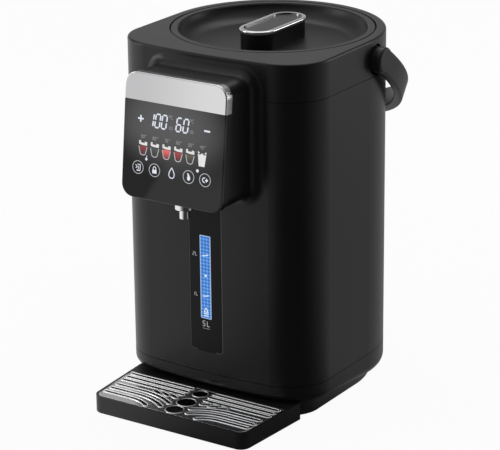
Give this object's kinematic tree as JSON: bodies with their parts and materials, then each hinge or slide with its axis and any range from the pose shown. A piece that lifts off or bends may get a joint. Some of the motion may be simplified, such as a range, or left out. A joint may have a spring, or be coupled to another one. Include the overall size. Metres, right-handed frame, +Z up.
{
  "type": "electric thermo pot",
  "caption": "Free-standing electric hot-water pot with a control head over a drip tray, lit level window, lift-off lid and rear bail handle.",
  "frame": {"origin": "bottom centre of the whole object's box, on the floor, with the handle lowered and the tray in", "axes": "+Z up; -Y towards the front with the control head and drip tray; +X to the pot's left, the viewer's right"},
  "size_m": [0.228, 0.319, 0.344],
  "materials": {
    "body_black": "satin black",
    "shell_black": "satin black",
    "dark_plastic": "matte dark",
    "lid_black": "fine matte",
    "chrome": "polished",
    "brushed": "brushed",
    "dark_brushed": "dark brushed",
    "polished_steel": "polished stainless",
    "tank_steel": "satin stainless",
    "screw_steel": "plain",
    "black_glass": "glossy black",
    "window_blue": "backlit clear",
    "strip_black": "matte",
    "clear": "clear",
    "rubber": "matte",
    "silicone": "translucent",
    "felt": "grey felt",
    "cast": "cast",
    "element": "heat stained",
    "ceramic": "matte",
    "white_plastic": "matte",
    "board_green": "satin"
  },
  "bodies": {
    "pot": {"body_casing": "body_black", "upper_collar": "shell_black", "base_housing": "shell_black", "foot_pan": "dark_plastic", "chassis_plate": "white_plastic", "rubber_feet": "rubber", "base_screws": "screw_steel", "inner_tank": "tank_steel", "tank_rim_seal": "silicone", "outlet_strainer": "tank_steel", "insulation_jacket": "felt", "tank_supports": "white_plastic", "heater_plate": "cast", "heater_element": "element", "heater_clamp": "screw_steel", "thermostats": "ceramic", "temperature_sensor": "screw_steel", "thermal_fuse": "ceramic", "pump_motor": "screw_steel", "pump_housing": "white_plastic", "pump_bracket": "screw_steel", "suction_hose": "silicone", "riser_hose": "silicone", "spout_pipe": "tank_steel", "level_tube": "clear", "level_feed_elbow": "silicone", "level_vent_elbow": "silicone", "level_led_board": "board_green", "level_window": "window_blue", "level_strip_panel": "strip_black", "head_housing": "shell_black", "head_front_frame": "shell_black", "control_glass": "black_glass", "head_band": "brushed", "display_board": "board_green", "head_screws": "screw_steel", "nozzle": "chrome", "nozzle_seal": "silicone", "power_board": "board_green", "board_standoffs": "white_plastic", "power_inlet": "dark_plastic", "handle_pivot_pins": "screw_steel"},
    "lid": {"lid_shell": "lid_black", "lid_inner_cover": "tank_steel", "lid_gasket": "silicone", "lid_screws": "screw_steel", "grip_body": "shell_black", "grip_ring": "chrome", "grip_inlay": "dark_brushed", "grip_screws": "screw_steel"},
    "handle": {"carry_handle": "shell_black"},
    "tray": {"drip_tray": "dark_plastic", "tray_pads": "rubber"},
    "grille": {"drip_grille": "polished_steel"}
  },
  "joints": [
    {"name": "handle_swing", "type": "hinge", "parent": "pot", "child": "handle", "pos_m": [0, 0.035, 0.32], "axis": [1, 0, 0], "range_deg": [0, 125]},
    {"name": "lid_lift", "type": "slide", "parent": "pot", "child": "lid", "axis": [0, 0, 1], "range_m": [0, 0.043]},
    {"name": "tray_slide", "type": "slide", "parent": "pot", "child": "tray", "axis": [0, -1, 0], "range_m": [0, 0.1]},
    {"name": "grille_lift", "type": "slide", "parent": "tray", "child": "grille", "axis": [0, 0, 1], "range_m": [0, 0.05]}
  ]
}
